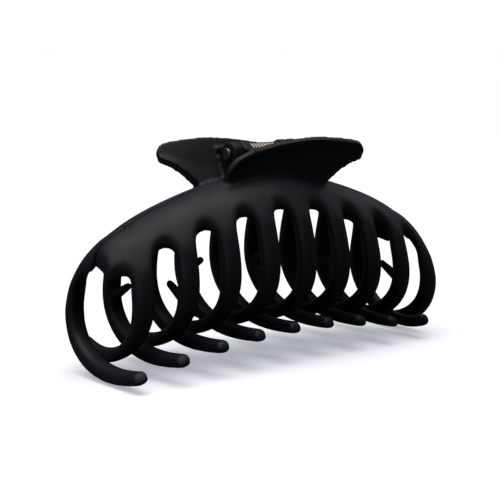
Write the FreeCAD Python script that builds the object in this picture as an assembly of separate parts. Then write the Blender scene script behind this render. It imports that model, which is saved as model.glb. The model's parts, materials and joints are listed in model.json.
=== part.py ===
"""Large claw clip for hair: two moulded jaws, the hinge pin that joins them and the torsion spring.

Millimetres. +X runs along the clip, the front jaw is on the -Y side, and +Z is up. The clip stands
closed on its end tines at z = 0, and the origin is under the middle of the ridge.

The closed clip is a ring that is deepest in the middle. Every size of the ring is given at the middle
and at the end tines, and runs between them with s, the square of the share of the half length.
"""
import FreeCAD, Part
import math
import os

Vector = FreeCAD.Vector
X_AXIS = Vector(1, 0, 0)
Z_AXIS = Vector(0, 0, 1)

# Tines: the jaws are one moulding used twice, so their tines pass each other half a pitch apart.
tine_count = 9
tine_pitch = 12.4
tine_width = 4.8
tine_thickness = 3.9
tip_width = 3.1
tip_thickness = 2.9
tip_round = 1.6

# Ring, over its outer faces, at the middle and at the end tines.
half_depth_mid = 18.6
half_depth_end = 13.4
belt_height_mid = 24.9
belt_height_end = 15.8
ridge_height_mid = 50.0
ridge_height_end = 32.3
ridge_shoulder = 14.0
ridge_shoulder_start = 0.26
bottom_height_mid = 7.2
bottom_height_end = 0.0
lower_offset = 8.3
overrun_mid = 22.0
overrun_end = 29.6
overrun_skew = 12.6
tip_flattening = 0.42
short_end_tip_lift = 1.2
end_lean = 0.075
lean_pivot_height = 15.0

# Bar: the wall along the ridge that carries the tines.
bar_thickness = 3.2
bar_gap = 0.3
bar_overhang = 0.35
slot_top_angle = 49.0

# Spikes inside every second tine.
spike_length = 7.2
spike_root_radius = 1.3
spike_tip_radius = 0.65
spike_angle = 9.0
spike_rise = 27.0

# Handle: a leaf-shaped plate that flares out from the ridge and further out towards its tip.
handle_thickness = 2.0
handle_barrel_inset = 0.3
handle_root_drop = 2.6
handle_flare = 0.353
handle_curl = 0.010
handle_droop = 2.27
handle_left = 14.8
handle_right = 26.2
handle_left_reach = 6.6
handle_right_reach = 15.4

# Hinge: barrels on both jaws, the pin through them and the spring between them.
barrel_radius = 3.4
barrel_ridge_gap = 1.6
barrel_width = 2.9
barrel_side_gap = 0.15
barrel_neck = 3.0
rib_thickness = 1.1
pin_radius = 1.0
pin_clearance = 0.05
pin_head_radius = 1.75
pin_head_width = 0.8
pin_end_gap = 0.1
spring_space = 10.2
wire_radius = 0.45
bend_swell = 0.03
coil_radius = 2.4
coil_turns = 8
coil_side_gap = 0.5
leg_contact = 6.8
leg_gap = 0.03

# Worked out from the above.
end_tine_x = (tine_count - 0.5) / 2 * tine_pitch
slot_radius = (tine_pitch - tine_width) / 2
hinge_height = ridge_height_mid + barrel_ridge_gap + barrel_radius
handle_root_offset = barrel_radius - handle_barrel_inset
barrel_step = barrel_width + 2 * barrel_side_gap


def between(mid, end, x):
    """A size at length position x, from its values at the middle and at the end tines."""
    share = (x / end_tine_x) ** 2
    return mid + (end - mid) * share


def ridge_height(x):
    """Height of the ridge, whose slopes are straight at first and then bulge before the ends."""
    share = (x / end_tine_x) ** 2
    bulge = ridge_shoulder * share * (1 - share) * (share - ridge_shoulder_start)
    return between(ridge_height_mid, ridge_height_end, x) + bulge


def leaned(x, y, z):
    """A point of the ring at x, moved along the clip: the end tines lean in towards the top."""
    return Vector(x - end_lean * x / end_tine_x * (z - lean_pivot_height), y, z)


def upper_point(x, angle, depth):
    """Point of the front jaw's upper quarter: angle from the ridge, depth below the outer face."""
    half = between(half_depth_mid, half_depth_end, x)
    belt = between(belt_height_mid, belt_height_end, x)
    y = (half - depth) * math.sin(angle)
    z = belt + (ridge_height(x) - depth - belt) * math.cos(angle)
    return leaned(x, -y, z)


def lower_point(x, angle, depth):
    """Point of the front jaw's lower hook: angle from the belt, depth inside the outer face."""
    half = between(half_depth_mid, half_depth_end, x)
    belt = between(belt_height_mid, belt_height_end, x)
    bottom = between(bottom_height_mid, bottom_height_end, x) + depth
    y = (half - depth + lower_offset) * math.cos(angle) - lower_offset
    z = belt - (belt - bottom) * math.sin(angle)
    if angle > math.pi / 2:
        z = bottom + (z - bottom) * tip_flattening + tip_lift(x, angle)
    return leaned(x, -y, z)


def tip_lift(x, angle):
    """Extra height of the last tip at the short end, which clears the end tine of the other jaw."""
    if x > tine_positions()[0] + tine_pitch / 2:
        return 0
    return short_end_tip_lift * ((angle - math.pi / 2) / overrun(x)) ** 2


def overrun(x):
    """How far past its lowest point a front tine's tip goes on, as an angle."""
    skew = overrun_skew * x / end_tine_x
    return math.radians(between(overrun_mid, overrun_end, x) + skew)


def closed_curve(points):
    """Smooth closed wire through the points."""
    curve = Part.BSplineCurve()
    curve.interpolate(Points=points, PeriodicFlag=True)
    return Part.Wire(curve.toShape())


def oval(centre, across, inward, width, thickness):
    """Cross-section of a tine: an oval with fuller corners than an ellipse."""
    count = 12
    fullness = 0.8
    points = []
    for step in range(count):
        angle = 2 * math.pi * step / count
        c, s = math.cos(angle), math.sin(angle)
        u = math.copysign(abs(c) ** fullness, c) * width / 2
        v = math.copysign(abs(s) ** fullness, s) * thickness / 2
        points.append(centre + across * u + inward * v)
    return closed_curve(points)


def tine_stations(x):
    """Centre line of a tine, from inside the bar to the tip."""
    depth = tine_thickness / 2
    start = math.radians(slot_top_angle) * 0.6
    steps_up = 5
    steps_down = 9
    last = math.pi / 2 + overrun(x)
    points = []
    for step in range(steps_up):
        angle = start + (math.pi / 2 - start) * step / steps_up
        points.append(upper_point(x, angle, depth))
    for step in range(steps_down + 1):
        points.append(lower_point(x, last * step / steps_down, depth))
    return points


def tine(x):
    """One tine: it keeps its section down to the belt and then tapers to a rounded tip."""
    points = tine_stations(x)
    last = len(points) - 1
    taper_start = 5
    sections = []
    for index, point in enumerate(points):
        ahead = points[min(index + 1, last)]
        behind = points[max(index - 1, 0)]
        along = (ahead - behind).normalize()
        across = (X_AXIS - along * X_AXIS.dot(along)).normalize()
        inward = along.cross(across)
        taper = max(0, index - taper_start) / (last - taper_start)
        width = tine_width + (tip_width - tine_width) * taper
        thickness = tine_thickness + (tip_thickness - tine_thickness) * taper
        sections.append(oval(point, across, inward, width, thickness))
    for share in (0.5, 0.8, 0.97):
        shrink = math.sqrt(1 - share ** 2)
        end = points[last] + along * tip_round * share
        sections.append(oval(end, across, inward, tip_width * shrink, tip_thickness * shrink))
    return Part.makeLoft(sections, True, False)


def bar_end_angle(x):
    """Angle at which the bar stops, level with the middles of the slots' round tops."""
    mean_radius = (between(half_depth_mid, half_depth_end, x)
                   + ridge_height(x) - between(belt_height_mid, belt_height_end, x)) / 2
    return math.radians(slot_top_angle) + slot_radius / mean_radius


def bar_section(x):
    """Outline of the bar's wall where it is cut across at x."""
    steps = 6
    first = math.asin(bar_gap / 2 / (between(half_depth_mid, half_depth_end, x) - bar_thickness))
    last = bar_end_angle(x)
    angles = [first + (last - first) * step / steps for step in range(steps + 1)]
    outer = [upper_point(x, angle, 0) for angle in angles]
    inner = [upper_point(x, angle, bar_thickness) for angle in reversed(angles)]
    outer[0].y = inner[-1].y
    edges = []
    for points in (outer, inner):
        curve = Part.BSplineCurve()
        curve.interpolate(points)
        edges.append(curve.toShape())
    edges.insert(1, Part.makeLine(outer[-1], inner[0]))
    edges.append(Part.makeLine(inner[-1], outer[0]))
    return Part.Wire(edges)


def slot_cutter(x):
    """Round top of the slot at x, cut square to the bar's wall."""
    angle = bar_end_angle(x)
    middle = upper_point(x, angle, bar_thickness / 2)
    outward = (upper_point(x, angle, 0) - upper_point(x, angle, bar_thickness)).normalize()
    reach = 2 * bar_thickness
    return Part.makeCylinder(slot_radius, 2 * reach, middle - outward * reach, outward)


def bar():
    """The curved wall along the ridge, with the round tops of the slots between the tines."""
    steps = 12
    end = end_tine_x + tine_width * bar_overhang
    sections = [bar_section(-end + 2 * end * step / steps) for step in range(steps + 1)]
    wall = Part.makeLoft(sections, True, False)
    slots = [slot_cutter(x - tine_pitch / 2) for x in tine_positions()]
    return wall.cut(slots)


def tine_positions():
    """Length positions of the front jaw's tines, the last of them at the clip's right end."""
    return [(index - (tine_count - 1) / 2 + 0.25) * tine_pitch for index in range(tine_count)]


def spike(x):
    """Small cone inside a tine, which leans in and up from the tine's middle."""
    root = lower_point(x, math.radians(spike_angle), tine_thickness / 2)
    rise = math.radians(spike_rise)
    along = Vector(0, math.cos(rise), math.sin(rise))
    length = spike_length + tine_thickness / 2 - spike_tip_radius
    cone = Part.makeCone(spike_root_radius, spike_tip_radius, length, root, along)
    return cone.fuse(Part.makeSphere(spike_tip_radius, root + along * length))


def handle_point(x, height, depth):
    """Point of the handle's middle surface, moved by depth towards the outer face.

    height runs up the plate from the ridge's level and stands off it as the ridge falls away.
    """
    z = ridge_height_mid - handle_droop * (ridge_height_mid - ridge_height(x)) + height
    y = handle_root_offset + handle_flare * height + handle_curl * height ** 2
    slope = math.hypot(1, handle_flare + 2 * handle_curl * height)
    tilt = (handle_flare + 2 * handle_curl * height) / slope
    return Vector(x, -y - depth / slope, z - depth * tilt)


def handle_root(x):
    """Height on the plate at which it is buried in the bar."""
    drop = ridge_height_mid - ridge_height(x)
    return (handle_droop - 1) * drop - handle_root_drop


def handle_section(x, low, high):
    """Outline of the plate where it is cut across at x, between two heights."""
    steps = 4
    half = handle_thickness / 2
    heights = [low + (high - low) * step / steps for step in range(steps + 1)]
    outer = Part.BSplineCurve()
    outer.interpolate([handle_point(x, height, half) for height in heights])
    inner = Part.BSplineCurve()
    inner.interpolate([handle_point(x, height, -half) for height in reversed(heights)])
    top = Part.makeLine(outer.EndPoint, inner.StartPoint)
    root = Part.makeLine(inner.EndPoint, outer.StartPoint)
    return Part.Wire([outer.toShape(), top, inner.toShape(), root])


def handle():
    """Leaf-shaped plate: a low rounded side on the left, and a crown that runs up to the right tip."""
    left, right = handle_left, handle_right
    low_side, crown = handle_left_reach, handle_right_reach
    outline = [(-left, handle_root(left), 0.8 * low_side), (-0.9 * left, handle_root(left), low_side),
               (-0.5 * left, handle_root(0.5 * left), low_side + 0.1),
               (0, handle_root(0), low_side + 1), (0.3 * right, handle_root(0.3 * right), 0.63 * crown),
               (0.56 * right, handle_root(0.56 * right), 0.79 * crown),
               (0.7 * right, handle_root(0.7 * right) + 2.6, 0.88 * crown),
               (0.85 * right, 0.57 * crown, 0.97 * crown), (0.95 * right, 0.75 * crown, crown),
               (right, 0.86 * crown, 0.95 * crown)]
    return Part.makeLoft([handle_section(*station) for station in outline], True, False)


def handle_inner_face(x, z):
    """Distance from the middle plane to the handle's inner face at x and height z."""
    height = z - ridge_height_mid + handle_droop * (ridge_height_mid - ridge_height(x))
    return -handle_point(x, height, -handle_thickness / 2).y


def barrel(x_start):
    """One hinge barrel of the front jaw, its neck down to the ridge and its two ribs to the handle."""
    axis_point = Vector(x_start, 0, hinge_height)
    solid = Part.makeCylinder(barrel_radius, barrel_width, axis_point, X_AXIS)
    foot = ridge_height(x_start) - bar_thickness * 0.7
    side = bar_gap / 2
    neck = Part.makeBox(barrel_width, barrel_neck, hinge_height - foot,
                        Vector(x_start, -side - barrel_neck, foot))
    solid = solid.fuse(neck)
    for height in (hinge_height + barrel_radius - 2 * rib_thickness, hinge_height - rib_thickness):
        reach = handle_inner_face(x_start, height) + handle_thickness / 2
        rib = Part.makeBox(barrel_width, reach - barrel_neck / 2, rib_thickness,
                           Vector(x_start, -reach, height - rib_thickness / 2))
        solid = solid.fuse(rib)
    return solid


def barrel_starts():
    """Left faces of the front jaw's barrels: the inner one on the left, the outer one on the right."""
    inner_left = -spring_space / 2 - barrel_width
    outer_right = spring_space / 2 + barrel_step
    return inner_left, outer_right


def pin_bore(radius):
    """Cutter for the pin's bore through all barrels."""
    length = spring_space + 4 * barrel_step
    return Part.makeCylinder(radius, length, Vector(-length / 2, 0, hinge_height), X_AXIS)


def front_jaw_blank():
    """The jaw moulding on the -Y side, before its bore: bar, tines, spikes, handle and barrels."""
    pieces = [tine(x) for x in tine_positions()]
    pieces += [spike(x) for x in tine_positions()[1::2]]
    pieces.append(handle())
    pieces += [barrel(x) for x in barrel_starts()]
    return bar().fuse(pieces)


def turned(shape):
    """The same moulding turned half a turn about the upright axis."""
    copy = shape.copy()
    copy.rotate(Vector(0, 0, 0), Z_AXIS, 180)
    return copy


def hinge_pin():
    """Pin pressed through the barrels, with a round head at the left and a riveted right end."""
    half = spring_space / 2 + barrel_step + barrel_width + pin_end_gap
    shank = Part.makeCylinder(pin_radius, 2 * half, Vector(-half, 0, hinge_height), X_AXIS)
    head = Part.makeCylinder(pin_head_radius, pin_head_width,
                             Vector(-half - pin_head_width, 0, hinge_height), X_AXIS)
    rivet = Part.makeCone(pin_head_radius, pin_radius, pin_head_width,
                          Vector(half, 0, hinge_height), X_AXIS)
    return shank.fuse([head, rivet])


def leg_end(x):
    """Where the spring's front leg bears on the inner face of the front handle."""
    clear = handle_thickness / 2 + wire_radius + leg_gap
    return handle_point(x, leg_contact, -clear)


def spring_leg(x, start_angle):
    """Straight wire from the coil's top to the front handle's inner face."""
    start = Vector(x, coil_radius * math.cos(start_angle),
                   hinge_height + coil_radius * math.sin(start_angle))
    end = leg_end(x)
    leg = Part.makeCylinder(wire_radius, (end - start).Length, start, end - start)
    return leg.fuse([Part.makeSphere(wire_radius + bend_swell, start), Part.makeSphere(wire_radius, end)])


def torsion_spring():
    """Coil round the pin whose two legs push the handles apart."""
    half = spring_space / 2 - coil_side_gap - wire_radius
    end = leg_end(half)
    rise = end.z - hinge_height
    bearing = math.atan2(rise, -end.y)
    tangent = math.pi - bearing - math.acos(coil_radius / math.hypot(end.y, rise))
    turns = coil_turns + (2 * tangent - math.pi) / (2 * math.pi)
    helix = Part.makeHelix(2 * half / turns, 2 * half, coil_radius)
    section = Part.Wire(Part.makeCircle(wire_radius, Vector(coil_radius, 0, 0), Vector(0, 1, 0)))
    coil = Part.Wire(helix.Edges).makePipeShell([section], True, True)
    coil.rotate(Vector(0, 0, 0), Vector(0, 1, 0), 90)
    coil.translate(Vector(-half, 0, hinge_height))
    start = math.degrees(math.pi - tangent) + 90
    coil.rotate(Vector(0, 0, hinge_height), X_AXIS, start)
    front_leg = spring_leg(half, tangent)
    return coil.fuse([front_leg, turned(front_leg)])


def main():
    blank = front_jaw_blank()
    pieces = {
        "front_jaw": blank.cut(pin_bore(pin_radius + pin_clearance)),
        "rear_jaw": turned(blank).cut(pin_bore(pin_radius)),
        "hinge_pin": hinge_pin(),
        "torsion_spring": torsion_spring(),
    }
    os.makedirs("parts", exist_ok=True)
    for node, shape in pieces.items():
        shape.exportStep("parts/" + node + ".step")


main()
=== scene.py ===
"""Looks of a large matt black claw clip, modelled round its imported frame.

Both jaws are one moulding: a curved bar with hooked tines, spikes, a leaf-shaped handle and hinge
barrels. It is modelled once on the front side and turned half a turn for the rear. Lengths are in
metres. +X runs along the clip, the front jaw is on the -Y side and +Z is up.
"""

import json
import math

import bpy
from bpy.props import FloatProperty, FloatVectorProperty, IntProperty, PointerProperty
from mathutils import Matrix, Vector


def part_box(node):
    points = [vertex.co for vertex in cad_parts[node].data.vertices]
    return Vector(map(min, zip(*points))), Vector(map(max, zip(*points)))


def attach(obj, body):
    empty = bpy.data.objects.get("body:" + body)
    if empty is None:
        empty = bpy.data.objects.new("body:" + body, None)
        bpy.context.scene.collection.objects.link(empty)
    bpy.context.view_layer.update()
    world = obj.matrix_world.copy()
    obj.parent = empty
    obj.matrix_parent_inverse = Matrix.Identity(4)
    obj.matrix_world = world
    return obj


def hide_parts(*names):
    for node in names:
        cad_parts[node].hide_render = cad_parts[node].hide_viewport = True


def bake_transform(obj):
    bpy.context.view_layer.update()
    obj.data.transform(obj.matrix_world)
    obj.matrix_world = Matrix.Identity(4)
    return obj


bl_info = {
    "name": "Claw Clip",
    "version": (1, 0, 0),
    "blender": (4, 5, 0),
    "location": "View3D > Sidebar > Claw Clip",
    "description": "Models a large claw clip: two jaws, their hinge pin and the spring",
    "category": "Add Mesh",
}

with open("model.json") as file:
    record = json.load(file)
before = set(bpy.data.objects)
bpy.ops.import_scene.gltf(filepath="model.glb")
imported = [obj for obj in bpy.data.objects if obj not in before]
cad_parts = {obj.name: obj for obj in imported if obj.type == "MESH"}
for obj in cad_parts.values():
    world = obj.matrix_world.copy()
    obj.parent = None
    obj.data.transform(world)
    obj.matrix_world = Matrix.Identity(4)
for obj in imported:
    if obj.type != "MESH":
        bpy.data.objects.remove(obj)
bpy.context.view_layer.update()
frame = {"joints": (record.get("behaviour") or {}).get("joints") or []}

MM = 0.001
FRONT_BODY = "front_half"
REAR_BODY = "rear_half"


def length(label, description, default):
    """A length that a user may change."""
    return FloatProperty(name=label, description=description, default=default, min=0,
                         subtype="DISTANCE", unit="LENGTH", precision=5)


def angle(label, description, degrees):
    """An angle that a user may change."""
    return FloatProperty(name=label, description=description, default=math.radians(degrees),
                         subtype="ANGLE", unit="ROTATION")


def share(label, description, default):
    """A plain ratio that a user may change."""
    return FloatProperty(name=label, description=description, default=default)


def colour(label, description, default):
    """A surface colour that a user may change."""
    return FloatVectorProperty(name=label, description=description, default=default, size=3,
                               min=0, max=1, subtype="COLOR")


class ClawClipRing(bpy.types.PropertyGroup):
    """Sizes of the ring that the closed jaws make, over its outer faces."""
    tine_count: IntProperty(name="Tines", description="Tines on each jaw", default=9, min=3)
    pitch: length("Pitch", "Distance between tines of one jaw", 12.4 * MM)
    tine_width: length("Tine width", "Width of a tine before its edges are rounded", 5.5 * MM)
    tine_thickness: length("Tine thickness", "Thickness of a tine before rounding", 4.7 * MM)
    tip_width: length("Tip width", "Width of a tine at its tip", 3.7 * MM)
    tip_thickness: length("Tip thickness", "Thickness of a tine at its tip", 3.4 * MM)
    tip_reach: length("Tip reach", "Length of the rounded tip past the hook's end", 2.2 * MM)
    crown: share("Crown", "Fall of a tine's outer edges, per unit of its thickness", 0.06)
    dish: length("Slot dish", "Height of the dished edge above each slot", 3.2 * MM)
    end_step: length("End step", "How far the bar's ends stand above the end tines", 1.7 * MM)
    bar_thickness: length("Bar thickness", "Thickness of the bar's wall", 3.2 * MM)
    bar_gap: length("Ridge gap", "Gap between the jaws along the ridge", 0.3 * MM)
    depth_mid: length("Half depth", "Half depth of the ring at the middle", 18.75 * MM)
    depth_end: length("Half depth at ends", "Half depth of the ring at the end tines", 13.5 * MM)
    belt_mid: length("Belt height", "Height of the widest part at the middle", 24.9 * MM)
    belt_end: length("Belt height at ends", "Height of the widest part at the end tines", 15.8 * MM)
    ridge_mid: length("Ridge height", "Height of the ridge at the middle", 50.0 * MM)
    ridge_end: length("Ridge height at ends", "Height of the ridge at the end tines", 32.3 * MM)
    shoulder: length("Ridge shoulder", "Bulge of the ridge before the ends", 14.0 * MM)
    shoulder_start: share("Shoulder start", "Where the bulge starts", 0.26)
    bottom_mid: length("Arch", "Height of the hooks' undersides at the middle", 7.1 * MM)
    lower_offset: length("Hook offset", "How far past the middle a hook is lowest", 8.3 * MM)
    overrun_mid: angle("Overrun", "Turn of the hook past its lowest point at the middle", 22.0)
    overrun_end: angle("Overrun at ends", "Turn of the hook at the ends", 29.6)
    overrun_skew: angle("Overrun skew", "Extra turn at the long end, less at the short end", 12.6)
    tip_flat: share("Tip flatness", "How much of its rise a tip keeps", 0.42)
    short_lift: length("Short end lift", "Extra rise of the last tip at the short end", 1.2 * MM)
    lean: share("Lean", "How much the end tines lean in, per unit of height", 0.075)
    lean_height: length("Lean pivot", "Height at which leaning tines stand in place", 15 * MM)
    slot_angle: angle("Slot top", "Angle from the ridge to the top of the slots", 48.0)


class ClawClipHandle(bpy.types.PropertyGroup):
    """Sizes of the handle plates."""
    thickness: length("Thickness", "Thickness of the plate", 2.0 * MM)
    root_offset: length("Root offset", "Distance of the plate's root from the middle", 3.1 * MM)
    root_drop: length("Root depth", "Depth to which the plate is buried in the bar", 2.6 * MM)
    flare: share("Flare", "Outward lean of the plate at its root", 0.353)
    curl: share("Curl", "Growth of the lean per metre of height", 10.0)
    droop: share("Droop", "How fast the plate falls with the ridge", 2.27)
    left: length("Left reach", "Reach of the plate to its rounded side", 14.8 * MM)
    right: length("Right reach", "Reach of the plate to its tip", 26.2 * MM)
    low_side: length("Low side", "Height of the rounded side", 6.6 * MM)
    crown: length("Crown", "Height of the crown near the tip", 15.4 * MM)
    rim: length("Rim", "Width of the raised rim on the outer face", 2.0 * MM)
    rim_step: length("Rim step", "Depth of the outer face inside the rim", 0.5 * MM)


class ClawClipHinge(bpy.types.PropertyGroup):
    """Sizes of the barrels, pin, spring and spikes."""
    barrel_radius: length("Barrel radius", "Outer radius of the barrels", 3.4 * MM)
    barrel_width: length("Barrel width", "Width of each barrel", 2.9 * MM)
    barrel_gap: length("Barrel gap", "Side gap at each barrel", 0.15 * MM)
    neck: length("Neck", "Thickness of the neck under a barrel", 3.0 * MM)
    rib: length("Rib", "Thickness of the ribs to the handle", 1.1 * MM)
    bore: length("Bore", "Radius of the bores", 1.05 * MM)
    pin_radius: length("Pin radius", "Radius of the pin", 1.0 * MM)
    head_radius: length("Head radius", "Radius of the pin's heads", 1.75 * MM)
    head_width: length("Head width", "Thickness of the pin's heads", 0.8 * MM)
    space: length("Spring space", "Distance between the inner barrels", 10.2 * MM)
    wire: length("Wire radius", "Radius of the spring wire", 0.45 * MM)
    coil: length("Coil radius", "Radius of the coil, to the wire's middle", 2.4 * MM)
    turns: IntProperty(name="Turns", description="Turns of the coil", default=8, min=2)
    leg_contact: length("Leg contact", "Height on the handle at which a leg bears", 6.8 * MM)
    spike_root: length("Spike root", "Radius of a spike at its root", 1.6 * MM)
    spike_tip: length("Spike tip", "Radius of a spike at its tip", 0.95 * MM)
    spike_length: length("Spike length", "Length of a spike, from the tine's inner face", 7.9 * MM)
    spike_angle: angle("Spike place", "Angle below the belt at which a spike stands", 9.0)
    spike_rise: angle("Spike rise", "Angle of a spike above the level", 27.0)


class ClawClipFinish(bpy.types.PropertyGroup):
    """Colours of the surfaces."""
    plastic: colour("Plastic", "Soft-touch plastic", (0.0058, 0.0058, 0.0088))
    # This colour is partly dust and skin oil, partly painted top light and bluish sheen on faces
    # that look up.
    sheen_and_dust: colour("Bloom", "Dust and skin oil on the soft-touch coat", (0.020, 0.020, 0.0265))
    pin: colour("Pin", "Blackened steel of the pin", (0.11, 0.11, 0.115))
    wire: colour("Wire", "Drawn spring wire", (0.18, 0.168, 0.15))
    straw: colour("Heat tint", "Straw tint left on the wire by its tempering", (0.25, 0.19, 0.11))
    floor: colour("Floor", "Pale floor", (0.62, 0.625, 0.63))
    floor_glow: colour("Floor glow", "Light that the backlit floor gives off", (0.38, 0.39, 0.43))


# Shape of the ring, for the front jaw.

def between(mid, end, x, ring):
    """A size at x, from its values at the middle and at the end tines."""
    part = (x / half_length(ring)) ** 2
    return mid + (end - mid) * part


def half_length(ring):
    """Distance from the middle to the end tine."""
    return (ring.tine_count - 0.5) / 2 * ring.pitch


def tine_places(ring):
    """Where the front jaw's tines stand along the clip."""
    middle = (ring.tine_count - 1) / 2
    return [(index - middle + 0.25) * ring.pitch for index in range(ring.tine_count)]


def ridge_height(x, ring):
    """Height of the ridge at x."""
    part = (x / half_length(ring)) ** 2
    bulge = ring.shoulder * part * (1 - part) * (part - ring.shoulder_start)
    return between(ring.ridge_mid, ring.ridge_end, x, ring) + bulge


def leaned(x, y, z, ring):
    """A point of the ring, moved along the clip by the lean of its tine."""
    return Vector((x - ring.lean * x / half_length(ring) * (z - ring.lean_height), y, z))


def upper_point(x, turn, depth, ring):
    """Point of the jaw above the belt: angle from the ridge, depth below the outer face."""
    half = between(ring.depth_mid, ring.depth_end, x, ring) - depth
    belt = between(ring.belt_mid, ring.belt_end, x, ring)
    rise = ridge_height(x, ring) - depth - belt
    y = max(half * math.sin(turn), ring.bar_gap / 2)
    return leaned(x, -y, belt + rise * math.cos(turn), ring)


def overrun(x, ring):
    """Turn of a hook past its lowest point."""
    mean = between(ring.overrun_mid, ring.overrun_end, x, ring)
    return mean + ring.overrun_skew * x / half_length(ring)


def lower_point(x, turn, depth, ring):
    """Point of the jaw's hook: angle from the belt, depth inside the outer face."""
    half = between(ring.depth_mid, ring.depth_end, x, ring) - depth
    belt = between(ring.belt_mid, ring.belt_end, x, ring)
    bottom = between(ring.bottom_mid, 0, x, ring) + depth
    y = (half + ring.lower_offset) * math.cos(turn) - ring.lower_offset
    z = belt - (belt - bottom) * math.sin(turn)
    if turn > math.pi / 2:
        z = bottom + (z - bottom) * ring.tip_flat
        if x < tine_places(ring)[0] + ring.pitch / 2:
            z += ring.short_lift * ((turn - math.pi / 2) / overrun(x, ring)) ** 2
    return leaned(x, -y, z, ring)


def handle_point(x, height, ring, handle):
    """Point of the handle's middle surface, by its height from the ridge's level."""
    z = ring.ridge_mid - handle.droop * (ring.ridge_mid - ridge_height(x, ring)) + height
    return Vector((x, -handle.root_offset - handle.flare * height - handle.curl * height ** 2, z))


# Modelling helpers.

def deselect():
    """Leaves object mode with nothing selected."""
    if bpy.context.object and bpy.context.object.mode != "OBJECT":
        bpy.ops.object.mode_set(mode="OBJECT")
    bpy.ops.object.select_all(action="DESELECT")


def named(name):
    """Names the object just added, and returns it."""
    piece = bpy.context.object
    piece.name = name
    piece.data.name = name
    return piece


def select_faces(piece, wanted):
    """Enters edit mode with only the faces that pass the test selected."""
    bpy.ops.object.mode_set(mode="EDIT")
    bpy.ops.mesh.select_mode(type="FACE")
    bpy.ops.mesh.select_all(action="DESELECT")
    bpy.ops.object.mode_set(mode="OBJECT")
    for face in piece.data.polygons:
        face.select = wanted(face)
    bpy.ops.object.mode_set(mode="EDIT")


def select_edges(piece, wanted):
    """Enters edit mode with only the edges that pass the test selected."""
    bpy.ops.object.mode_set(mode="EDIT")
    bpy.ops.mesh.select_mode(type="EDGE")
    bpy.ops.mesh.select_all(action="DESELECT")
    bpy.ops.object.mode_set(mode="OBJECT")
    for edge in piece.data.edges:
        edge.select = wanted(edge)
    bpy.ops.object.mode_set(mode="EDIT")


def finish_modifier(piece, kind, **values):
    """Adds a modifier with these values and applies it."""
    deselect()
    piece.select_set(True)
    bpy.context.view_layer.objects.active = piece
    bpy.ops.object.modifier_add(type=kind)
    modifier = piece.modifiers[-1]
    for key, value in values.items():
        setattr(modifier, key, value)
    bpy.ops.object.modifier_apply(modifier=modifier.name)


def grid(name, columns, rows, place):
    """A sheet of columns by rows points, each put where place(column, row) says."""
    deselect()
    bpy.ops.mesh.primitive_grid_add(x_subdivisions=columns - 1, y_subdivisions=rows - 1, size=1)
    piece = named(name)
    for vertex in piece.data.vertices:
        column = round((vertex.co.x + 0.5) * (columns - 1))
        row = round((vertex.co.y + 0.5) * (rows - 1))
        vertex.co = place(column, row)
    return piece


def face_out(piece):
    """Makes all faces of a closed piece point outwards."""
    deselect()
    piece.select_set(True)
    bpy.context.view_layer.objects.active = piece
    bpy.ops.object.mode_set(mode="EDIT")
    bpy.ops.mesh.select_all(action="SELECT")
    bpy.ops.mesh.normals_make_consistent(inside=False)
    bpy.ops.object.mode_set(mode="OBJECT")


def join(pieces):
    """Joins the pieces into the first of them."""
    deselect()
    for piece in pieces:
        piece.select_set(True)
    bpy.context.view_layer.objects.active = pieces[0]
    bpy.ops.object.join()
    return pieces[0]


def settle(piece):
    """Puts the piece's place and turn into its mesh."""
    deselect()
    piece.select_set(True)
    bpy.context.view_layer.objects.active = piece
    bpy.ops.object.transform_apply(location=True, rotation=True, scale=True)


# The jaw moulding.

# Rows of the bar, as shares of the angle from the ridge to the slots' tops, then the first rows of
# the slots' edges and of the belt, and the rows down each hook.
BAR_ROWS = (0.0, 0.12, 0.4, 0.7)
SLOT_ROW = 4
BELT_ROW = 7
HOOK_STEPS = 7
# Columns across a slot and a tine. A slot's places are in half slots, and a tine's in tine widths.
SLOT_SIDE = 0.7
TAIL_SIDE = -0.42
SLOT_ARC = (("slot", -SLOT_SIDE), ("slot", 0), ("slot", SLOT_SIDE))
TINE_EDGES = (("edge", -0.5), ("middle", 0), ("edge", 0.5))
# Depths below the slots' tops, in half slots: a tine's own edge, its first free row, and how much
# less the short tail at the bar's end reaches down.
TINE_EDGE_DROP = 0.62
FREE_TINE_DROP = 1.35
TAIL_LIFT = 0.55
# The bar's ends begin to rise at this share of the half length, over this much more of it.
END_STEP_START = 0.9
END_STEP_RAMP = 0.08
RIDGE_CREASE = 0.8
CAGE_ROUNDING = 3


def bar_columns(ring):
    """Columns of the sheet: centre of the tine or slot, kind, and place across it."""
    start = -half_length(ring)
    columns = [(start, "tail", TAIL_SIDE), (start, "slot", 0), (start, "slot", SLOT_SIDE)]
    for x in tine_places(ring):
        columns += [(x, kind, across) for kind, across in TINE_EDGES]
        columns += [(x + ring.pitch / 2, kind, across) for kind, across in SLOT_ARC]
    return columns[:-len(SLOT_ARC)]


def slot_half(ring):
    """Half of a slot's width."""
    return (ring.pitch - ring.tine_width) / 2


def mean_radius(x, ring):
    """Mean radius of the ring above the belt."""
    belt = between(ring.belt_mid, ring.belt_end, x, ring)
    return (between(ring.depth_mid, ring.depth_end, x, ring) + ridge_height(x, ring) - belt) / 2


def column_place(column, ring):
    """Distance of a column along the clip, where it crosses the bar."""
    centre, kind, across = column
    width = ring.tine_width if kind in ("edge", "middle") else slot_half(ring)
    return centre + across * width


def slot_edge(column, layer, ring):
    """Angle of the slots' round tops, which start higher on the outer face than the inner."""
    centre, kind, across = column
    radius = mean_radius(centre, ring)
    if kind in ("edge", "middle"):
        return ring.slot_angle + TINE_EDGE_DROP * slot_half(ring) / radius
    arc = 1 - math.sqrt(1 - across ** 2)
    dish = 0 if layer else ring.dish / radius * (1 - arc)
    lift = TAIL_LIFT * slot_half(ring) / radius if kind == "tail" else 0
    return ring.slot_angle + arc * slot_half(ring) / radius - dish - lift


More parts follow.
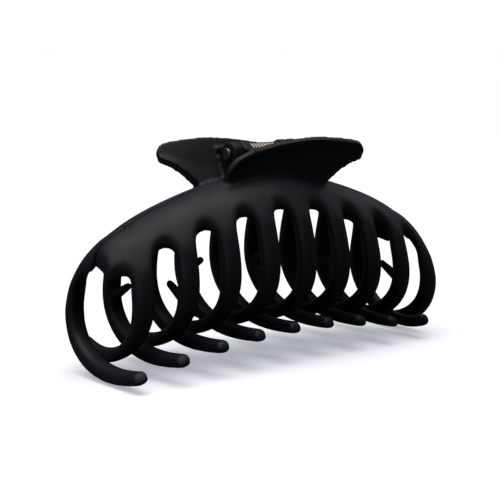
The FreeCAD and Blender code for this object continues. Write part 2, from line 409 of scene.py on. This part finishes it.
def tine_rows(x, ring):
    """Angles of a tine's rows: two above the belt, then the hook's down to the tip."""
    start = ring.slot_angle + FREE_TINE_DROP * slot_half(ring) / mean_radius(x, ring)
    last = math.pi / 2 + overrun(x, ring)
    hook = [last * step / (HOOK_STEPS - 1) for step in range(HOOK_STEPS)]
    reach = ring.tip_reach / (between(ring.depth_mid, ring.depth_end, x, ring) + ring.lower_offset)
    return [start, (start + math.pi / 2) / 2], hook + [last + reach]


def bar_depth(column, row, layer, ring):
    """Depth of a point of the bar; its ends stand a little above the end tines."""
    if layer:
        return ring.bar_thickness
    along = abs(column_place(column, ring)) / half_length(ring)
    near_end = (along - END_STEP_START) / END_STEP_RAMP
    return -ring.end_step * max(0, min(1, near_end)) * (1 - BAR_ROWS[row])


def jaw_point(column, row, layer, ring):
    """Place of one point of the jaw's outer (0) or inner (1) layer."""
    centre, kind, across = column
    x = column_place(column, ring)
    if row < SLOT_ROW:
        depth = bar_depth(column, row, layer, ring)
        return upper_point(x, ring.slot_angle * BAR_ROWS[row], depth, ring)
    thickness = ring.tine_thickness
    fall = ring.crown * thickness if kind != "middle" else 0
    if row == SLOT_ROW:
        depth = ring.bar_thickness if layer else fall * (kind != "edge")
        return upper_point(x, slot_edge(column, layer, ring), depth, ring)
    upper, hook = tine_rows(centre, ring)
    if row < BELT_ROW:
        depth = thickness - fall if layer else fall
        return upper_point(x, upper[row - SLOT_ROW - 1], depth, ring)
    step = row - BELT_ROW
    taper = min(1, step / (HOOK_STEPS - 1))
    here = thickness + (ring.tip_thickness - thickness) * taper
    side = (here / 2 - ring.crown * here * (kind != "middle")) * (1 if layer else -1)
    width = ring.tine_width + (ring.tip_width - ring.tine_width) * taper
    return lower_point(centre + across * width, hook[step], thickness / 2 + side, ring)


def comb(ring):
    """The bar and its tines: a sheet with the slots cut away, given its wall and rounded."""
    columns = bar_columns(ring)
    rows = BELT_ROW + HOOK_STEPS + 1
    piece = grid("comb", len(columns), rows,
                 lambda column, row: jaw_point(columns[column], row, 0, ring))

    def in_slot(face):
        """Whether a face lies between two tines, or past the bar's end."""
        spots = [divmod(index, len(columns)) for index in face.vertices]
        below = min(row for row, column in spots) >= SLOT_ROW
        return below and any(columns[column][1] in ("slot", "tail") for row, column in spots)

    marks = piece.data.attributes.new("spot", "INT", "POINT")
    marks.data.foreach_set("value", range(len(piece.data.vertices)))
    select_faces(piece, in_slot)
    bpy.ops.mesh.delete(type="FACE")
    bpy.ops.object.mode_set(mode="OBJECT")
    outer = len(piece.data.vertices)
    finish_modifier(piece, "SOLIDIFY", thickness=ring.tine_thickness)
    spots = piece.data.attributes["spot"].data
    for vertex in piece.data.vertices:
        row, column = divmod(spots[vertex.index].value, len(columns))
        vertex.co = jaw_point(columns[column], row, vertex.index // outer, ring)
    face_out(piece)

    def along_ridge(edge):
        """Whether an edge lies where the two jaws meet."""
        return all(abs(piece.data.vertices[index].co.y) < ring.bar_gap for index in edge.vertices)

    select_edges(piece, along_ridge)
    bpy.ops.transform.edge_crease(value=RIDGE_CREASE)
    bpy.ops.object.mode_set(mode="OBJECT")
    piece.data.attributes.remove(piece.data.attributes["spot"])
    finish_modifier(piece, "SUBSURF", levels=CAGE_ROUNDING, render_levels=CAGE_ROUNDING)
    return piece


# The handle's sheet has these rows, the first two in the bar. Its last stations, at the tip, are
# too low for a rim of full width, so their rows are spread evenly.
HANDLE_ROWS = 7
TIP_STATIONS = 4
RIM_ROWS = range(2, 5)
# Share of the full wall at the buried root, at the bar's surface and above it.
ROOT_WALL = (1, 0.75, 0.5)
HANDLE_CREASE = 0.75
HANDLE_CREASE_ANGLE = math.radians(50)


def handle_outline(ring, handle):
    """Stations along the handle: place, lowest height and highest height."""
    left, right, low, crown = handle.left, handle.right, handle.low_side, handle.crown

    def root(x):
        """Height of the buried root at x."""
        return (handle.droop - 1) * (ring.ridge_mid - ridge_height(x, ring)) - handle.root_drop

    return [(-left, root(left), 0.75 * low),
            (-0.9 * left, root(0.9 * left), low),
            (-0.72 * left, root(0.72 * left), 1.07 * low),
            (-0.4 * left, root(0.4 * left), 1.07 * low),
            (0, root(0), low + 1.2 * MM),
            (0.3 * right, root(0.3 * right), 0.64 * crown),
            (0.52 * right, root(0.52 * right), 0.785 * crown),
            (0.69 * right, root(0.69 * right) + 0.9 * MM, 0.9 * crown),
            (0.84 * right, 0.53 * crown, 1.01 * crown),
            (0.94 * right, 0.75 * crown, 1.08 * crown),
            (right - 0.2 * MM, 0.84 * crown, 1.08 * crown),
            (right + 0.7 * MM, 0.92 * crown, 1.03 * crown)]


def handle_plate(ring, handle):
    """The handle: a plate on its curved surface, with a raised rim round its outer face."""
    stations = handle_outline(ring, handle)

    def place(column, row):
        """A point of the sheet: rows close together make the rim's step."""
        x, low, high = stations[column]
        rim = min(handle.rim, 0.3 * (high - low))
        heights = (low, low + handle.root_drop, low + handle.root_drop + (high - low) * 0.2,
                   low + (high - low) * 0.62, high - 1.25 * rim, high - 0.95 * rim, high)
        span = (high - low) / (HANDLE_ROWS - 1)
        height = heights[row] if column < len(stations) - TIP_STATIONS else low + span * row
        return handle_point(x, height, ring, handle)

    piece = grid("handle", len(stations), HANDLE_ROWS, place)
    wall = piece.vertex_groups.new(name="wall")
    count = len(stations)
    for row in range(HANDLE_ROWS):
        points = list(range(row * count, (row + 1) * count))
        wall.add(points, ROOT_WALL[min(row, len(ROOT_WALL) - 1)], "REPLACE")
    sheet = range(HANDLE_ROWS * count)
    inside = [index for index in sheet
              if 0 < index % count < count - 2 and index // count in RIM_ROWS]
    finish_modifier(piece, "SOLIDIFY", thickness=2 * handle.thickness, offset=0,
                    use_even_offset=True, vertex_group="wall")
    face_out(piece)
    outer = outer_half(piece, inside, len(sheet))
    for index in outer:
        piece.data.vertices[index].co.y += handle.rim_step
    bpy.ops.object.mode_set(mode="EDIT")
    bpy.ops.mesh.select_mode(type="EDGE")
    bpy.ops.mesh.select_all(action="DESELECT")
    bpy.ops.mesh.edges_select_sharp(sharpness=HANDLE_CREASE_ANGLE)
    bpy.ops.transform.edge_crease(value=HANDLE_CREASE)
    bpy.ops.object.mode_set(mode="OBJECT")
    finish_modifier(piece, "SUBSURF", levels=CAGE_ROUNDING, render_levels=CAGE_ROUNDING)
    return piece


def outer_half(piece, inside, count):
    """Which of the plate's two layers faces outwards, for the points inside its rim."""
    points = piece.data.vertices
    first = sum(points[index].co.y for index in inside)
    second = sum(points[index + count].co.y for index in inside)
    return inside if first < second else [index + count for index in inside]


def block(name, low, high, soften):
    """A box between two corners with softened edges."""
    deselect()
    bpy.ops.mesh.primitive_cube_add(size=1, location=(Vector(low) + Vector(high)) / 2)
    piece = named(name)
    piece.scale = Vector(high) - Vector(low)
    settle(piece)
    finish_modifier(piece, "BEVEL", width=soften, segments=2)
    return piece


def rod(name, radius, low_x, high_x, z, sides=64):
    """A cylinder along X about the hinge axis's height."""
    deselect()
    bpy.ops.mesh.primitive_cylinder_add(vertices=sides, radius=radius, depth=high_x - low_x,
                                        location=((low_x + high_x) / 2, 0, z),
                                        rotation=(0, math.pi / 2, 0))
    piece = named(name)
    settle(piece)
    return piece


def hinge_height():
    """Height of the hinge axis, from the frame."""
    return frame["joints"][0]["pos_m"][2]


BARREL_EDGE = 0.25 * MM
NECK_EDGE = 0.3 * MM
RIB_EDGE = 0.2 * MM
NECK_FOOT = 0.7  # Depth of the neck's foot in the bar, as a share of the bar's wall.
SKIN_VOXEL = 0.42 * MM
SKIN_SMOOTHING = 6
SKIN_SHARP_ANGLE = math.radians(40)


def barrels(ring, handle, hinge):
    """The front jaw's two barrels, each with its neck and its two ribs to the handle."""
    z = hinge_height()
    inner_left = -hinge.space / 2 - hinge.barrel_width
    outer_right = hinge.space / 2 + hinge.barrel_width + 2 * hinge.barrel_gap
    pieces = []
    for x in (inner_left, outer_right):
        far = x + hinge.barrel_width
        barrel = rod("barrel", hinge.barrel_radius, x, far, z)
        finish_modifier(barrel, "BEVEL", width=BARREL_EDGE, segments=2, limit_method="ANGLE")
        foot = ridge_height(x, ring) - NECK_FOOT * ring.bar_thickness
        side = ring.bar_gap / 2
        pieces.append(barrel)
        pieces.append(block("neck", (x, -side - hinge.neck, foot), (far, -side, z), NECK_EDGE))
        fall = handle.droop * (ring.ridge_mid - ridge_height(x, ring))
        for height in (z + hinge.barrel_radius - 2 * hinge.rib, z - hinge.rib):
            reach = handle_point(x, height - ring.ridge_mid + fall, ring, handle).y
            low = (x, reach, height - hinge.rib / 2)
            high = (far, -hinge.neck / 2, height + hinge.rib / 2)
            pieces.append(block("rib", low, high, RIB_EDGE))
    return pieces


def spikes(ring, hinge):
    """The spikes inside every second tine, each leaning in and up."""
    pieces = []
    direction = Vector((0, math.cos(hinge.spike_rise), math.sin(hinge.spike_rise)))
    turn = direction.to_track_quat("Z", "Y").to_euler()
    reach = hinge.spike_length + ring.tine_thickness / 2
    for x in tine_places(ring)[1::2]:
        root = lower_point(x, hinge.spike_angle, ring.tine_thickness / 2, ring)
        deselect()
        bpy.ops.mesh.primitive_cone_add(vertices=32, radius1=hinge.spike_root,
                                        radius2=hinge.spike_tip, depth=reach,
                                        location=root + direction * reach / 2, rotation=turn)
        spike = named("spike")
        settle(spike)
        finish_modifier(spike, "BEVEL", width=0.5 * hinge.spike_tip, segments=3,
                        limit_method="ANGLE")
        pieces.append(spike)
    return pieces


def moulding(name, clip):
    """One jaw moulding on the front side, all its features grown into one skin."""
    ring, handle, hinge = clip.ring, clip.handle, clip.hinge
    jaw = join([comb(ring), handle_plate(ring, handle), *barrels(ring, handle, hinge),
                *spikes(ring, hinge)])
    jaw.vertex_groups.clear()
    finish_modifier(jaw, "REMESH", mode="VOXEL", voxel_size=SKIN_VOXEL, use_smooth_shade=True)
    finish_modifier(jaw, "SMOOTH", factor=0.5, iterations=SKIN_SMOOTHING)
    half = hinge.space / 2 + 3 * hinge.barrel_width
    drill = rod("drill", hinge.bore, -half, half, hinge_height())
    finish_modifier(jaw, "BOOLEAN", object=drill, operation="DIFFERENCE", solver="EXACT")
    bpy.data.objects.remove(drill)
    jaw.name = name
    jaw.data.name = name
    deselect()
    jaw.select_set(True)
    bpy.context.view_layer.objects.active = jaw
    bpy.ops.object.shade_smooth_by_angle(angle=SKIN_SHARP_ANGLE)
    return jaw


# Shader groups and materials.

def group(name, inputs, outputs):
    """A new shader group with these sockets, and its input and output nodes."""
    tree = bpy.data.node_groups.new(name, "ShaderNodeTree")
    for label, default in inputs:
        socket = tree.interface.new_socket(name=label, in_out="INPUT",
                                           socket_type="NodeSocketFloat")
        socket.default_value = default
    for label in outputs:
        tree.interface.new_socket(name=label, in_out="OUTPUT", socket_type="NodeSocketFloat")
    return tree, tree.nodes.new("NodeGroupInput"), tree.nodes.new("NodeGroupOutput")


def object_noise(tree, scale, detail, roughness=0.5):
    """A noise on object coordinates."""
    place = tree.nodes.new("ShaderNodeTexCoord")
    texture = tree.nodes.new("ShaderNodeTexNoise")
    texture.inputs["Detail"].default_value = detail
    texture.inputs["Roughness"].default_value = roughness
    tree.links.new(place.outputs["Object"], texture.inputs["Vector"])
    if isinstance(scale, bpy.types.NodeSocket):
        tree.links.new(scale, texture.inputs["Scale"])
    else:
        texture.inputs["Scale"].default_value = scale
    return texture.outputs["Fac"]


def math_node(tree, operation, first, second, clamp=False):
    """A math node on two values or sockets."""
    node = tree.nodes.new("ShaderNodeMath")
    node.operation = operation
    node.use_clamp = clamp
    for socket, value in zip(node.inputs, (first, second)):
        if isinstance(value, bpy.types.NodeSocket):
            tree.links.new(value, socket)
        else:
            socket.default_value = value
    return node.outputs[0]


def ramp(tree, value, low, high):
    """The value spread so that low gives 0 and high gives 1."""
    node = tree.nodes.new("ShaderNodeMapRange")
    node.interpolation_type = "SMOOTHSTEP"
    node.inputs["From Min"].default_value = low
    node.inputs["From Max"].default_value = high
    tree.links.new(value, node.inputs["Value"])
    return node.outputs["Result"]


def grain_group():
    """Fine moulded grain over a slow ripple of the surface."""
    inputs = [("Scale", 5000.0), ("Ripple", 0.3)]
    tree, entry, exit_node = group("Moulded Grain", inputs, ["Height"])
    fine = object_noise(tree, entry.outputs["Scale"], 3, 0.6)
    slow = object_noise(tree, 260, 1)
    rippled = math_node(tree, "MULTIPLY", slow, entry.outputs["Ripple"])
    tree.links.new(math_node(tree, "ADD", fine, rippled), exit_node.inputs["Height"])
    return tree


def handling_group():
    """Where hands have polished or dulled the surface: soft patches, from 0 to 1."""
    tree, entry, exit_node = group("Handling", [("Scale", 120.0), ("Spread", 0.5)], ["Mask"])
    patches = object_noise(tree, entry.outputs["Scale"], 4, 0.55)
    mask = ramp(tree, patches, 0.42, 0.66)
    worn = math_node(tree, "MULTIPLY", mask, entry.outputs["Spread"])
    tree.links.new(worn, exit_node.inputs["Mask"])
    return tree


def dust_and_sheen_group():
    """Specks of dust and a broad film on faces that look up, from 0 to 1; where it lightens the
    colour it is partly painted top light and sheen.
    """
    tree, entry, exit_node = group("Dust", [("Scale", 2600.0), ("Amount", 0.5)], ["Mask"])
    place = tree.nodes.new("ShaderNodeTexCoord")
    split = tree.nodes.new("ShaderNodeSeparateXYZ")
    tree.links.new(place.outputs["Normal"], split.inputs["Vector"])
    # Faces that look up get more of it: partly where dust settles, partly painted top light.
    up = ramp(tree, split.outputs["Z"], 0.1, 0.9)
    specks = ramp(tree, object_noise(tree, entry.outputs["Scale"], 2, 0.7), 0.66, 0.76)
    film = ramp(tree, object_noise(tree, 90, 3), 0.35, 0.75)
    mixed = math_node(tree, "ADD", specks, math_node(tree, "MULTIPLY", film, 0.35), clamp=True)
    upward_dust_and_sheen = math_node(tree, "MULTIPLY", mixed, up)
    dust_and_sheen_mask = math_node(tree, "MULTIPLY", upward_dust_and_sheen, entry.outputs["Amount"])
    tree.links.new(dust_and_sheen_mask, exit_node.inputs["Mask"])
    return tree


def shared(name, build):
    """The shader group of that name, built the first time it is asked for."""
    return bpy.data.node_groups.get(name) or build()


def placed(tree, name, build, **values):
    """Places a shared group in a material, with its own values."""
    node = tree.nodes.new("ShaderNodeGroup")
    node.node_tree = shared(name, build)
    for key, value in values.items():
        node.inputs[key].default_value = value
    return node


# Places of the colour sockets of a Mix node, whose names its other sockets share.
MIX_FACTOR = 0
MIX_FIRST = 6
MIX_SECOND = 7
MIX_RESULT = 2


def mixed_colour(tree, mask, first, second):
    """A colour between two colours by a mask."""
    node = tree.nodes.new("ShaderNodeMix")
    node.data_type = "RGBA"
    node.inputs[MIX_FIRST].default_value = (*first, 1)
    node.inputs[MIX_SECOND].default_value = (*second, 1)
    tree.links.new(mask, node.inputs[MIX_FACTOR])
    return node.outputs[MIX_RESULT]


# Roughness of each surface, where its mask is 0 and where it is 1.
PLASTIC_ROUGHNESS = (0.46, 0.58)
PIN_ROUGHNESS = (0.42, 0.28)
WIRE_ROUGHNESS = (0.22, 0.34)
PLASTIC_SPECULAR = 0.18
PIN_POLISH = 2.2  # How much lighter the pin is where it is worn bright.


def roughened(tree, mask, low, high):
    """A roughness between two values by a mask."""
    node = tree.nodes.new("ShaderNodeMapRange")
    node.inputs["To Min"].default_value = low
    node.inputs["To Max"].default_value = high
    tree.links.new(mask, node.inputs["Value"])
    return node.outputs["Result"]


def new_material(name):
    """An empty material and its shader."""
    material = bpy.data.materials.new(name)
    material.use_nodes = True
    return material, material.node_tree, material.node_tree.nodes["Principled BSDF"]


def add_bump(tree, shader, height, strength, distance):
    """Feeds a height to the shader's normal."""
    bump = tree.nodes.new("ShaderNodeBump")
    bump.inputs["Strength"].default_value = strength
    bump.inputs["Distance"].default_value = distance
    tree.links.new(height, bump.inputs["Height"])
    tree.links.new(bump.outputs["Normal"], shader.inputs["Normal"])


def soft_touch(finish):
    """Matt black plastic with a soft-touch coat, lightly handled, its upward faces painted lighter
    and bluer: partly dust, partly painted sheen.
    """
    material, tree, shader = new_material("soft_touch_plastic_look")
    handling = placed(tree, "Handling", handling_group, Scale=110.0, Spread=0.6)
    dust = placed(tree, "Dust", dust_and_sheen_group, Scale=2400.0, Amount=0.35)
    grain = placed(tree, "Moulded Grain", grain_group, Scale=5200.0, Ripple=0.5)
    # Base colour: lighter and bluer on faces that look up, partly dust and partly painted top light
    # and sheen.
    tree.links.new(mixed_colour(tree, dust.outputs["Mask"], finish.plastic, finish.sheen_and_dust),
                   shader.inputs["Base Color"])
    worn = math_node(tree, "ADD", handling.outputs["Mask"], dust.outputs["Mask"], clamp=True)
    tree.links.new(roughened(tree, worn, *PLASTIC_ROUGHNESS), shader.inputs["Roughness"])
    add_bump(tree, shader, grain.outputs["Height"], 0.25, 0.00005)
    shader.inputs["Specular IOR Level"].default_value = PLASTIC_SPECULAR
    return material


def blackened_steel(finish):
    """Blackened steel of the pin, polished a little where it is handled."""
    material, tree, shader = new_material("blackened_pin_look")
    handling = placed(tree, "Handling", handling_group, Scale=700.0, Spread=1.0)
    grain = placed(tree, "Moulded Grain", grain_group, Scale=9000.0, Ripple=0.2)
    light = tuple(min(1, PIN_POLISH * value) for value in finish.pin)
    tree.links.new(mixed_colour(tree, handling.outputs["Mask"], finish.pin, light),
                   shader.inputs["Base Color"])
    tree.links.new(roughened(tree, handling.outputs["Mask"], *PIN_ROUGHNESS),
                   shader.inputs["Roughness"])
    shader.inputs["Metallic"].default_value = 1
    add_bump(tree, shader, grain.outputs["Height"], 0.15, 0.00003)
    return material


def spring_steel(finish):
    """Drawn spring wire with a straw tint here and there."""
    material, tree, shader = new_material("spring_wire_look")
    handling = placed(tree, "Handling", handling_group, Scale=420.0, Spread=1.0)
    grain = placed(tree, "Moulded Grain", grain_group, Scale=8000.0, Ripple=0.1)
    tree.links.new(mixed_colour(tree, handling.outputs["Mask"], finish.wire, finish.straw),
                   shader.inputs["Base Color"])
    tree.links.new(roughened(tree, handling.outputs["Mask"], *WIRE_ROUGHNESS),
                   shader.inputs["Roughness"])
    shader.inputs["Metallic"].default_value = 1
    add_bump(tree, shader, grain.outputs["Height"], 0.12, 0.00002)
    return material


def dress(piece, material):
    """Gives a piece its one material."""
    piece.data.materials.clear()
    piece.data.materials.append(material)


def hand_over(piece, node, body):
    """Hides the frame's node that the piece stands for, and hangs the piece on its body if it rides
    on one.
    """
    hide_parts(node)
    if body:
        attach(piece, body)


# Operators.

class CLAWCLIP_OT_front_jaw(bpy.types.Operator):
    """Model the front jaw"""
    bl_idname = "claw_clip.front_jaw"
    bl_label = "Front Jaw"

    def execute(self, context):
        clip = context.scene.claw_clip
        jaw = moulding("front_jaw_moulding", clip)
        dress(jaw, soft_touch(clip.finish))
        hand_over(jaw, "front_jaw", FRONT_BODY)
        return {"FINISHED"}


class CLAWCLIP_OT_rear_jaw(bpy.types.Operator):
    """Turn a copy of the front jaw round to make the rear jaw"""
    bl_idname = "claw_clip.rear_jaw"
    bl_label = "Rear Jaw"

    def execute(self, context):
        front = bpy.data.objects["front_jaw_moulding"]
        jaw = bpy.data.objects.new("rear_jaw_moulding", front.data.copy())
        jaw.data.name = "rear_jaw_moulding"
        context.scene.collection.objects.link(jaw)
        jaw.data.transform(Matrix.Rotation(math.pi, 4, "Z"))
        hand_over(jaw, "rear_jaw", REAR_BODY)
        return {"FINISHED"}


PIN_INSET = 0.1 * MM  # How far the shank stops short of the heads' outer faces.
HEAD_DOME = 0.45  # Rounding of a head's edge, as a share of its thickness.


class CLAWCLIP_OT_hinge_pin(bpy.types.Operator):
    """Model the hinge pin with its two formed heads"""
    bl_idname = "claw_clip.hinge_pin"
    bl_label = "Hinge Pin"

    def execute(self, context):
        clip = context.scene.claw_clip
        hinge = clip.hinge
        low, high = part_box("hinge_pin")
        z = hinge_height()
        shank = rod("shank", hinge.pin_radius, low.x + PIN_INSET, high.x - PIN_INSET, z)
        for start, end in ((low.x, low.x + hinge.head_width), (high.x - hinge.head_width, high.x)):
            head = rod("head", hinge.head_radius, start, end, z)
            finish_modifier(head, "BEVEL", width=HEAD_DOME * hinge.head_width, segments=4,
                            limit_method="ANGLE")
            finish_modifier(shank, "BOOLEAN", object=head, operation="UNION", solver="EXACT")
            bpy.data.objects.remove(head)
        shank.name = "hinge_pin_formed"
        shank.data.name = "hinge_pin_formed"
        bpy.ops.object.shade_smooth_by_angle(angle=math.radians(35))
        dress(shank, blackened_steel(clip.finish))
        hand_over(shank, "hinge_pin", REAR_BODY)
        return {"FINISHED"}


COIL_CLEARANCE = 0.5 * MM  # Space between the coil and the inner barrels.
COIL_STEPS = 24  # Points to each turn.
LEG_POINTS = (0.15, 0.4, 0.7, 1)  # Points along a leg, as shares of its length.


def leg_end(x, clip):
    """Where the front leg bears on the inner face of the front handle."""
    middle = handle_point(x, clip.hinge.leg_contact, clip.ring, clip.handle)
    slope = clip.handle.flare + 2 * clip.handle.curl * clip.hinge.leg_contact
    inward = Vector((0, 1, slope)).normalized()
    return middle + inward * (clip.handle.thickness / 2 + clip.hinge.wire)


def spring_path(clip):
    """Points along the wire: rear leg, coil and front leg."""
    hinge = clip.hinge
    z = hinge_height()
    half = hinge.space / 2 - COIL_CLEARANCE - hinge.wire
    end = leg_end(half, clip)
    rise = end.z - z
    reach = math.hypot(end.y, rise)
    tangent = math.pi - math.atan2(rise, -end.y) - math.acos(hinge.coil / reach)
    start = math.pi - tangent
    sweep = 2 * math.pi * hinge.turns + 2 * tangent - math.pi
    steps = COIL_STEPS * hinge.turns
    points = []
    for step in range(steps + 1):
        part = step / steps
        turn = start + sweep * part
        points.append(Vector((-half + 2 * half * part, hinge.coil * math.cos(turn),
                              z + hinge.coil * math.sin(turn))))
    front = [points[-1].lerp(end, part) for part in LEG_POINTS]
    rear = [Vector((-point.x, -point.y, point.z)) for point in reversed(front)]
    return rear + points + front


class CLAWCLIP_OT_torsion_spring(bpy.types.Operator):
    """Wind the torsion spring round the pin"""
    bl_idname = "claw_clip.torsion_spring"
    bl_label = "Torsion Spring"

    def execute(self, context):
        clip = context.scene.claw_clip
        path = spring_path(clip)
        deselect()
        bpy.ops.curve.primitive_nurbs_path_add()
        wire = named("torsion_spring_wire")
        wire.location = (0, 0, 0)
        line = wire.data
        line.splines.clear()
        spline = line.splines.new("NURBS")
        spline.points.add(len(path) - 1)
        for point, place in zip(spline.points, path):
            point.co = (*place, 1)
        spline.order_u = 3
        spline.use_endpoint_u = True
        line.dimensions = "3D"
        line.bevel_depth = clip.hinge.wire
        line.bevel_resolution = 5
        line.resolution_u = 2
        line.use_fill_caps = True
        bpy.ops.object.convert(target="MESH")
        bpy.ops.object.mode_set(mode="EDIT")
        bpy.ops.mesh.select_all(action="SELECT")
        bpy.ops.mesh.remove_doubles(threshold=0.00001)
        bpy.ops.mesh.normals_make_consistent(inside=False)
        bpy.ops.object.mode_set(mode="OBJECT")
        bpy.ops.object.shade_smooth_by_angle(angle=math.radians(50))
        dress(wire, spring_steel(clip.finish))
        hand_over(wire, "torsion_spring", None)
        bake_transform(wire)
        return {"FINISHED"}


FLOOR_RADIUS = 40.0
FLOOR_BOUNCE = 0.12  # Share of the floor's colour that lights the clip from below.
BACKDROP_LIGHT = 1.05
ROOM_LIGHT = 0.09
CEILING_LIGHT = 2.9
CEILING_SPREAD = math.radians(60)
CEILING_TILT = math.radians(-4)
PANEL_SIZE = 0.35
PANEL_COLOUR = (0.92, 0.94, 1)
# Each side panel's name, place, the point it faces and its power.
PANELS = (("left_panel", (-0.55, -0.12, 0.38), (-0.02, 0, 0.03), 0.8),
          ("right_panel", (0.5, 0.1, 0.42), (0.02, 0, 0.03), 0.3))
CAMERA_AZIMUTH = math.radians(-36.91)
CAMERA_ELEVATION = math.radians(8.19)
CAMERA_DISTANCE = 0.39508
CAMERA_AIM = (-0.0001, 0.0051, 0.0277)
CAMERA_LENS = 102.73


def area_light(name, place, aim, power):
    """A square soft light that looks at a point."""
    data = bpy.data.lights.new(name, "AREA")
    data.shape = "SQUARE"
    data.size = PANEL_SIZE
    data.energy = power
    data.color = PANEL_COLOUR
    light = bpy.data.objects.new(name, data)
    light.location = place
    light.rotation_euler = (Vector(aim) - Vector(place)).to_track_quat("-Z", "Y").to_euler()
    bpy.context.scene.collection.objects.link(light)


def white_room():
    """The world: white behind the clip, and a dim even fill for the light itself."""
    world = bpy.data.worlds.new("studio")
    bpy.context.scene.world = world
    world.use_nodes = True
    tree = world.node_tree
    fill = tree.nodes["Background"]
    fill.inputs["Color"].default_value = (1, 1, 1, 1)
    fill.inputs["Strength"].default_value = ROOM_LIGHT
    seen = tree.nodes.new("ShaderNodeBackground")
    seen.inputs["Color"].default_value = (1, 1, 1, 1)
    seen.inputs["Strength"].default_value = BACKDROP_LIGHT
    path = tree.nodes.new("ShaderNodeLightPath")
    mix = tree.nodes.new("ShaderNodeMixShader")
    tree.links.new(path.outputs["Is Camera Ray"], mix.inputs[0])
    tree.links.new(fill.outputs[0], mix.inputs[1])
    tree.links.new(seen.outputs[0], mix.inputs[2])
    tree.links.new(mix.outputs[0], tree.nodes["World Output"].inputs["Surface"])


def camera():
    """The camera, looking at its aim from its azimuth and elevation."""
    back = Vector((math.sin(CAMERA_AZIMUTH) * math.cos(CAMERA_ELEVATION),
                   -math.cos(CAMERA_AZIMUTH) * math.cos(CAMERA_ELEVATION),
                   math.sin(CAMERA_ELEVATION)))
    data = bpy.data.cameras.new("camera")
    data.lens = CAMERA_LENS
    data.clip_start = 0.01
    data.clip_end = 200
    eye = bpy.data.objects.new("camera", data)
    eye.location = Vector(CAMERA_AIM) + back * CAMERA_DISTANCE
    eye.rotation_euler = (-back).to_track_quat("-Z", "Y").to_euler()
    bpy.context.scene.collection.objects.link(eye)
    bpy.context.scene.camera = eye


class CLAWCLIP_OT_stage(bpy.types.Operator):
    """Set up the pale floor, the soft light and the camera"""
    bl_idname = "claw_clip.stage"
    bl_label = "Stage"

    def execute(self, context):
        finish = context.scene.claw_clip.finish
        deselect()
        bpy.ops.mesh.primitive_circle_add(vertices=96, radius=FLOOR_RADIUS, fill_type="NGON")
        floor = named("floor")
        material, tree, shader = new_material("floor_look")
        path = tree.nodes.new("ShaderNodeLightPath")
        dimmed = tuple(FLOOR_BOUNCE * value for value in finish.floor)
        seen = path.outputs["Is Camera Ray"]
        tree.links.new(mixed_colour(tree, seen, dimmed, finish.floor), shader.inputs["Base Color"])
        tree.links.new(mixed_colour(tree, seen, (0, 0, 0), finish.floor_glow),
                       shader.inputs["Emission Color"])
        shader.inputs["Emission Strength"].default_value = 1
        shader.inputs["Roughness"].default_value = 0.9
        shader.inputs["Specular IOR Level"].default_value = 0.1
        dress(floor, material)
        sun = bpy.data.lights.new("ceiling_glow", "SUN")
        sun.energy = CEILING_LIGHT
        sun.angle = CEILING_SPREAD
        glow = bpy.data.objects.new("ceiling_glow", sun)
        glow.rotation_euler = (0, CEILING_TILT, 0)
        context.scene.collection.objects.link(glow)
        for name, place, aim, power in PANELS:
            area_light(name, place, aim, power)
        white_room()
        camera()
        context.scene.view_settings.view_transform = "Standard"
        return {"FINISHED"}


class ClawClip(bpy.types.PropertyGroup):
    """All settings of the clip."""
    ring: PointerProperty(type=ClawClipRing)
    handle: PointerProperty(type=ClawClipHandle)
    hinge: PointerProperty(type=ClawClipHinge)
    finish: PointerProperty(type=ClawClipFinish)


class CLAWCLIP_PT_panel(bpy.types.Panel):
    """Buttons and sizes of the claw clip"""
    bl_idname = "CLAWCLIP_PT_panel"
    bl_label = "Claw Clip"
    bl_space_type = "VIEW_3D"
    bl_region_type = "UI"
    bl_category = "Claw Clip"

    def draw(self, context):
        for operator in OPERATORS:
            self.layout.operator(operator.bl_idname)
        clip = context.scene.claw_clip
        for settings in (clip.ring, clip.handle, clip.hinge, clip.finish):
            box = self.layout.box()
            for key in settings.bl_rna.properties.keys():
                if key not in ("rna_type", "name"):
                    box.prop(settings, key)


OPERATORS = (CLAWCLIP_OT_front_jaw, CLAWCLIP_OT_rear_jaw, CLAWCLIP_OT_hinge_pin,
             CLAWCLIP_OT_torsion_spring, CLAWCLIP_OT_stage)
CLASSES = (ClawClipRing, ClawClipHandle, ClawClipHinge, ClawClipFinish, ClawClip,
           *OPERATORS, CLAWCLIP_PT_panel)


def register():
    """Adds the classes and the clip's settings."""
    for item in CLASSES:
        bpy.utils.register_class(item)
    bpy.types.Scene.claw_clip = PointerProperty(type=ClawClip)


def unregister():
    """Takes them away again."""
    del bpy.types.Scene.claw_clip
    for item in reversed(CLASSES):
        bpy.utils.unregister_class(item)


def main():
    """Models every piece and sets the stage."""
    register()
    bpy.ops.claw_clip.front_jaw()
    bpy.ops.claw_clip.rear_jaw()
    bpy.ops.claw_clip.hinge_pin()
    bpy.ops.claw_clip.torsion_spring()
    bpy.ops.claw_clip.stage()


if __name__ == "__main__":
    main()
